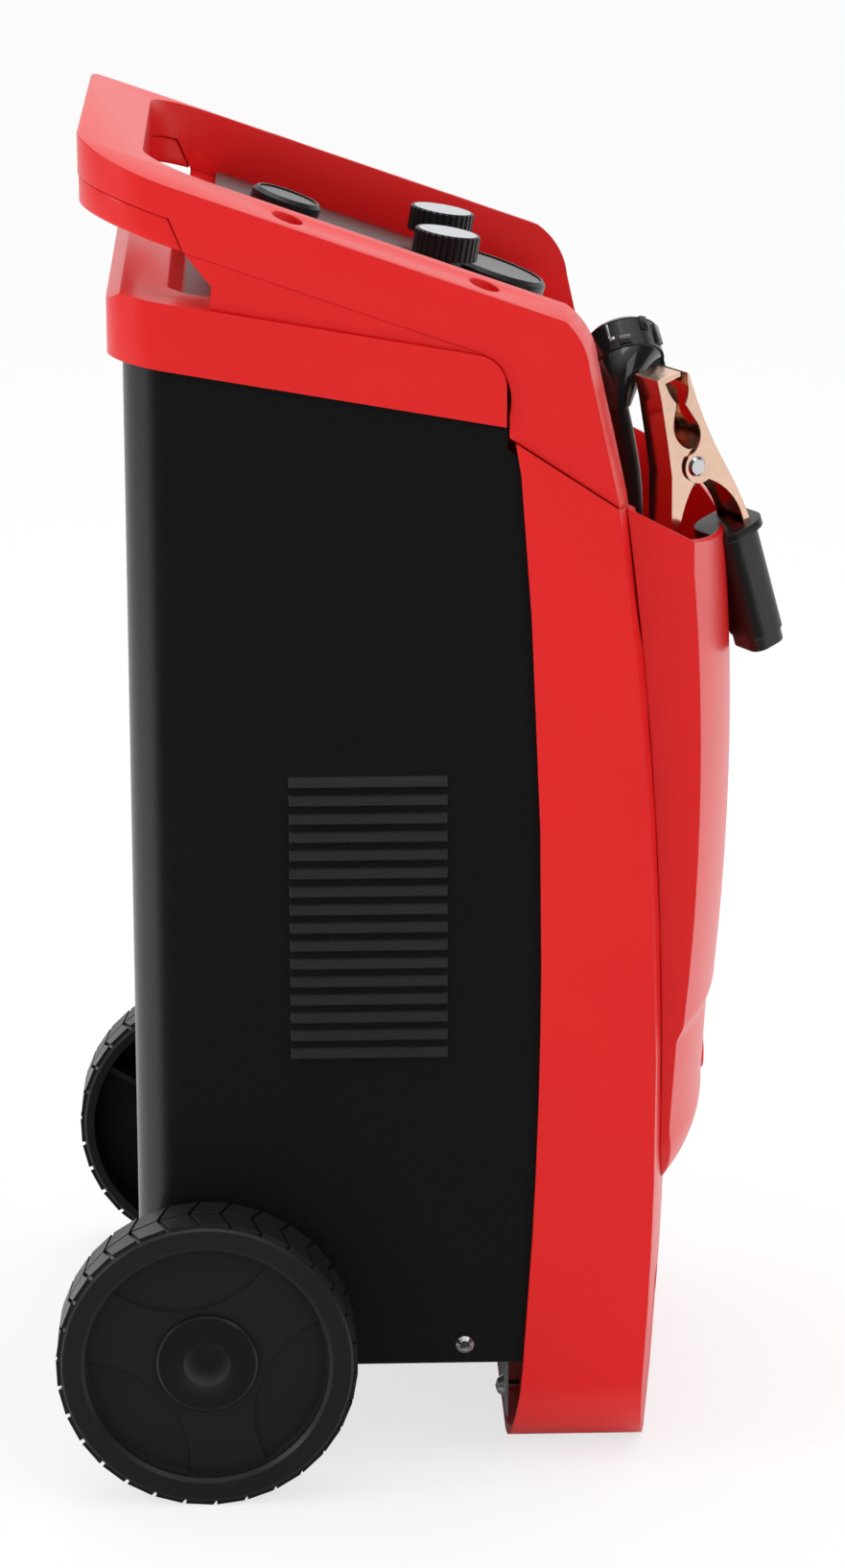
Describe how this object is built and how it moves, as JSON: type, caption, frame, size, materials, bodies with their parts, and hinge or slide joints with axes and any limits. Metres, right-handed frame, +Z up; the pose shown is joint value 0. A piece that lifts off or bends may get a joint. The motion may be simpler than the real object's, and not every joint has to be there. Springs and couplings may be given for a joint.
{
  "type": "car battery charger",
  "caption": "Wheeled battery charger and starter in a red and black case with a handle, knobs, meters, a lead pocket, coiled cords, a plug and a clamp.",
  "frame": {"origin": "on the ground, in the middle plane, midway between the wheels' rear and the storage pocket's front", "axes": "+Z up, -Y the front with the pocket, +Y the wheels and the grip, X along the axle"},
  "size_m": [0.3856, 0.3723, 0.675],
  "materials": {
    "red_plastic": "satin red moulding",
    "black_sheet": "satin black paint",
    "grey_steel": "plain grey",
    "black_plastic": "satin black moulding",
    "wheel_plastic": "satin dark moulding",
    "bright_steel": "bright zinc",
    "clamp_copper": "polished copper plate",
    "winding_copper": "enamelled wire",
    "core_steel": "stacked sheet",
    "plain_aluminium": "satin",
    "soft_black": "smooth black",
    "plug_black": "glossy black",
    "diode_black": "black",
    "clear_cover": "clear",
    "dial_white": "plain pale face",
    "label_grey": "plain grey plate"
  },
  "bodies": {
    "charger": {"body_wrap": "black_sheet", "base_tray": "black_sheet", "side_screws": "bright_steel", "chassis_front_plate": "grey_steel", "top_cover": "red_plastic", "rear_label_plate": "label_grey", "console": "red_plastic", "handle_frame": "red_plastic", "handle_lower_shell": "red_plastic", "front_panel": "red_plastic", "storage_pocket": "red_plastic", "axle": "bright_steel", "axle_lock_caps": "bright_steel", "axle_bushes": "black_plastic", "rotary_switch_left": "black_plastic", "rotary_switch_right": "black_plastic", "switch_shelf": "grey_steel", "rear_meter_case": "black_plastic", "rear_meter_dial": "dial_white", "rear_meter_glass": "clear_cover", "front_meter_case": "black_plastic", "front_meter_dial": "dial_white", "front_meter_glass": "clear_cover", "control_panel": "black_plastic", "transformer_core": "core_steel", "primary_winding": "winding_copper", "secondary_winding": "winding_copper", "transformer_feet": "grey_steel", "rectifier_heatsink": "plain_aluminium", "rectifier_diodes": "diode_black", "rail_screws": "bright_steel", "foot_screws": "bright_steel", "mains_gland": "black_plastic", "lead_gland": "black_plastic", "spare_lead_gland": "black_plastic", "mains_coil": "soft_black", "lead_coil": "soft_black", "mains_plug": "plug_black", "clamp_jaw_front": "clamp_copper", "clamp_rivet": "bright_steel", "clamp_spring": "bright_steel", "clamp_grip_front": "soft_black", "mains_cord": "soft_black", "clamp_lead": "soft_black"},
    "left_wheel": {"wheel_left": "wheel_plastic", "hub_cap_left": "black_plastic"},
    "right_wheel": {"wheel_right": "wheel_plastic", "hub_cap_right": "black_plastic"},
    "left_knob": {"knob_left": "black_plastic", "knob_inlay_left": "plain_aluminium", "switch_shaft_left": "bright_steel"},
    "right_knob": {"knob_right": "black_plastic", "knob_inlay_right": "plain_aluminium", "switch_shaft_right": "bright_steel"},
    "rear_jaw": {"clamp_jaw_rear": "clamp_copper", "clamp_grip_rear": "soft_black"}
  },
  "joints": [
    {"name": "wheel_left_spin", "type": "hinge", "parent": "charger", "child": "left_wheel", "pos_m": [-0.1756, 0.0986, 0.075], "axis": [1, 0, 0], "continuous": true},
    {"name": "wheel_right_spin", "type": "hinge", "parent": "charger", "child": "right_wheel", "pos_m": [0.1756, 0.0986, 0.075], "axis": [1, 0, 0], "continuous": true},
    {"name": "knob_left_turn", "type": "hinge", "parent": "charger", "child": "left_knob", "pos_m": [-0.0355, -0.0274, 0.615], "axis": [0, -0.1724, 0.985], "range_deg": [-135, 135]},
    {"name": "knob_right_turn", "type": "hinge", "parent": "charger", "child": "right_knob", "pos_m": [0.0355, -0.0274, 0.615], "axis": [0, -0.1724, 0.985], "range_deg": [-135, 135]},
    {"name": "clamp_open", "type": "hinge", "parent": "charger", "child": "rear_jaw", "pos_m": [-0.04896, -0.14503, 0.4997], "axis": [-0.8829, -0.4695, 0], "range_deg": [0, 8], "stiffness_Nm_per_rad": 0.6, "springref_deg": -28.65, "deforming": ["clamp_spring", "clamp_lead"]}
  ]
}
